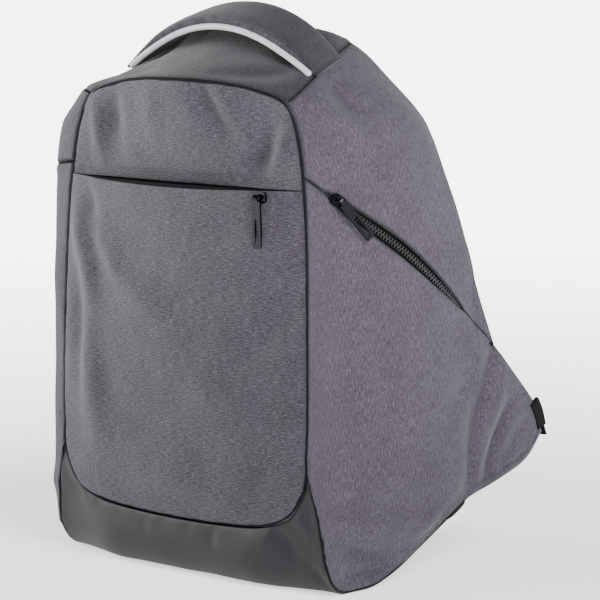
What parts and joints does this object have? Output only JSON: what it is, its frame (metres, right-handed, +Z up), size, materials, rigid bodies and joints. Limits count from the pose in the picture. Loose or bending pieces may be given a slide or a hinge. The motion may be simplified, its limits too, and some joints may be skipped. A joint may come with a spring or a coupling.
{
  "type": "anti theft backpack",
  "caption": "Upright anti theft backpack with a zipped front pocket, slanting side zips, a coated base, side wings and a padded carry handle.",
  "frame": {"origin": "on the floor under the middle of the bag's box", "axes": "+Z up, the front pocket faces -Y, +X is towards the side that shows in the picture"},
  "size_m": [0.3132, 0.2764, 0.435],
  "materials": {
    "grey_cloth": "heather grey two-tone polyester, matte, fine horizontal streaks",
    "coated_base": "dark grey coated cloth, semi-matte",
    "back_mesh": "black padded air mesh",
    "seam_binding": "dark binding tape",
    "light_cord": "light grey ribbed cord",
    "zip_tape": "black zip tape with a coil chain",
    "black_webbing": "black woven webbing",
    "black_metal": "glossy black enamel",
    "black_plastic": "moulded, fine satin"
  },
  "bodies": {
    "root": {"front_upper": "grey_cloth", "pocket_panel": "grey_cloth", "side_lower_right": "grey_cloth", "side_lower_left": "grey_cloth", "side_upper_right": "grey_cloth", "side_upper_left": "grey_cloth", "top_panel": "grey_cloth", "base_panel": "coated_base", "pocket_back": "grey_cloth", "back_panel": "back_mesh", "front_seam_binding": "seam_binding", "side_zip_right": "zip_tape", "side_zip_right_slider": "black_metal", "side_zip_left": "zip_tape", "side_zip_left_slider": "black_metal", "pocket_zip": "zip_tape", "pocket_zip_slider": "black_metal", "main_zip": "zip_tape", "main_zip_slider": "black_metal", "carry_handle": "grey_cloth", "handle_piping": "light_cord", "shoulder_strap_right": "back_mesh", "ladder_lock_right": "black_plastic", "wing_tab_right": "black_webbing", "strap_webbing_right": "black_webbing", "shoulder_strap_left": "back_mesh", "ladder_lock_left": "black_plastic", "wing_tab_left": "black_webbing", "strap_webbing_left": "black_webbing"},
    "side_zip_right_puller": {"side_zip_right_puller": "black_metal"},
    "side_zip_left_puller": {"side_zip_left_puller": "black_metal"},
    "pocket_zip_puller": {"pocket_zip_puller": "black_metal"},
    "main_zip_puller": {"main_zip_puller": "black_metal"}
  },
  "joints": [
    {"name": "side_zip_right_puller_hinge", "type": "hinge", "parent": "root", "child": "side_zip_right_puller", "pos_m": [0.14433, -0.09303, 0.29258], "axis": [-0.1538, -0.7343, -0.6612], "range_deg": [0, 140]},
    {"name": "side_zip_left_puller_hinge", "type": "hinge", "parent": "root", "child": "side_zip_left_puller", "pos_m": [-0.14433, -0.09303, 0.29258], "axis": [-0.1538, 0.7343, 0.6612], "range_deg": [0, 140]},
    {"name": "pocket_zip_puller_hinge", "type": "hinge", "parent": "root", "child": "pocket_zip_puller", "pos_m": [0.09404, -0.13038, 0.29413], "axis": [-0.9903, -0.1383, 0.0138], "range_deg": [0, 140]},
    {"name": "main_zip_puller_hinge", "type": "hinge", "parent": "root", "child": "main_zip_puller", "pos_m": [0.12991, 0.06873, 0.12688], "axis": [1, 0, 0], "range_deg": [0, 140]}
  ]
}
